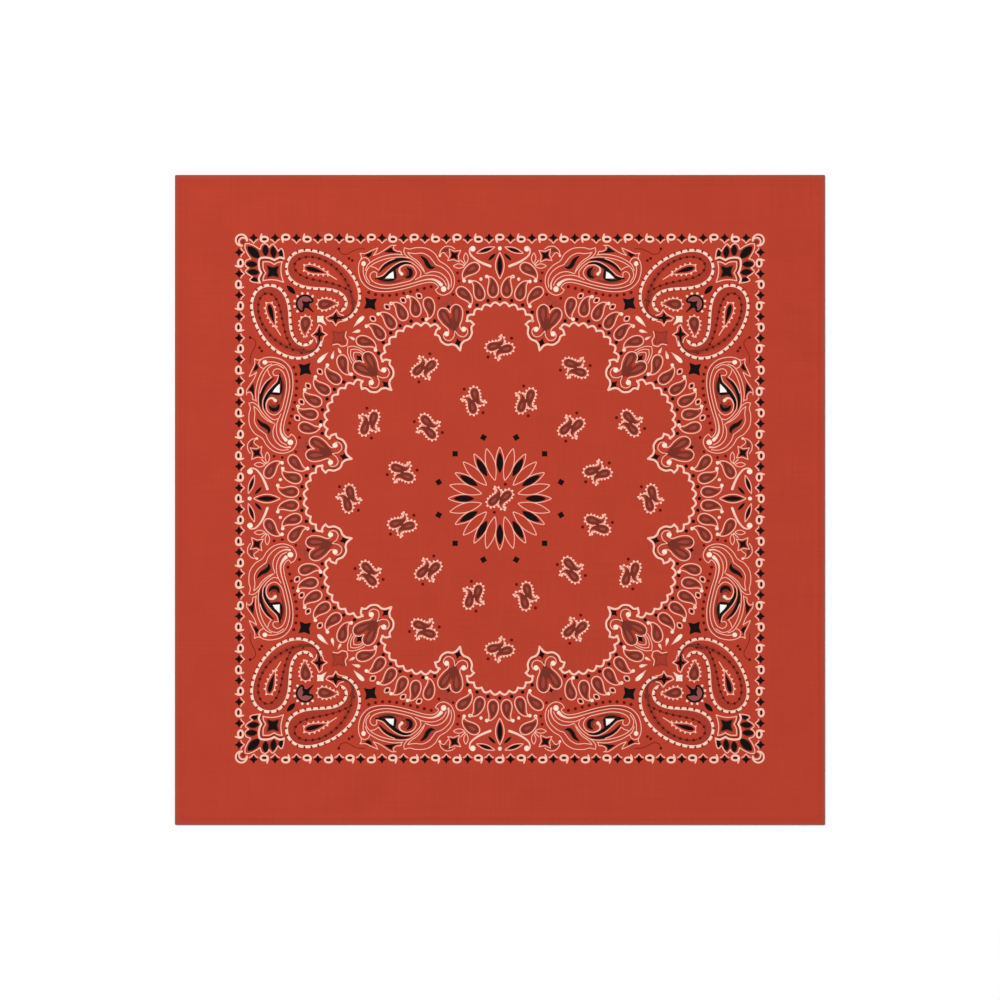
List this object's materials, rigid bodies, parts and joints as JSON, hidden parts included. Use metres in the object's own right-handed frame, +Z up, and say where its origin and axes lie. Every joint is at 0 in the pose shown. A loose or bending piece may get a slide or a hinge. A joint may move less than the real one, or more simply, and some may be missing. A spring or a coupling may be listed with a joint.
{
  "type": "bandana",
  "caption": "Square printed cotton bandana with narrow turned hems, lying flat and face up; worn as a kerchief, headscarf or neckerchief.",
  "frame": {"origin": "middle of the underside, on the surface that the bandana lies on", "axes": "+Z up, out of the printed face; +X to the right of the printed face; +Y to its top edge"},
  "size_m": [0.5588, 0.5588, 0.0025],
  "materials": {
    "printed_cotton": "matt plain-weave cotton, red ground, printed in white, black and brown",
    "turned_cotton": "matt plain-weave cotton, red, turned twice",
    "sewing_thread": "red polyester-cotton thread, slight sheen"
  },
  "bodies": {
    "root": {"cloth_panel": "printed_cotton", "hem_top": "turned_cotton", "hem_bottom": "turned_cotton", "hem_left": "turned_cotton", "hem_right": "turned_cotton"}
  },
  "joints": []
}
